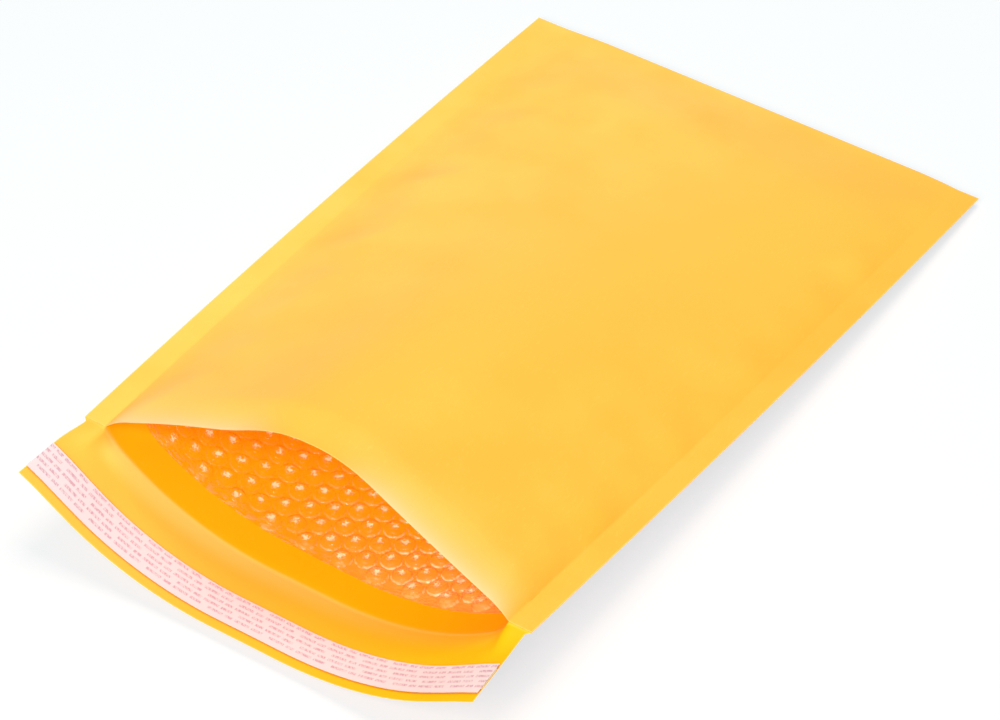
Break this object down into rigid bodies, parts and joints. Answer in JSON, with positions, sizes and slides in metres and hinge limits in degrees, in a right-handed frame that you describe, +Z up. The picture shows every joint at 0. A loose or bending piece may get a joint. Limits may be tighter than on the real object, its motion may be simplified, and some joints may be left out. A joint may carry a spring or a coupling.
{
  "type": "padded envelope",
  "caption": "Padded mailing envelope in golden kraft paper with a bubble lining, lying on its back with the mouth squeezed open and the peel-and-seal flap unfolded.",
  "frame": {"origin": "middle of the envelope's box, on the surface that the back wall lies on", "axes": "+Y from the flap to the bottom fold, +X across the envelope, +Z up out of the front wall"},
  "size_m": [0.2414, 0.4122, 0.0808],
  "materials": {
    "kraft_paper": "golden kraft paper, smooth side out, soft satin",
    "bubble_film": "clear polyethylene bubble film, tinted by the paper behind it",
    "adhesive": "clear pressure-sensitive adhesive",
    "release_paper": "silicone-coated paper, pale pink"
  },
  "bodies": {
    "root": {"kraft_sheet": "kraft_paper", "bubble_liner": "bubble_film", "adhesive_strip": "adhesive", "release_liner": "release_paper"}
  },
  "joints": []
}
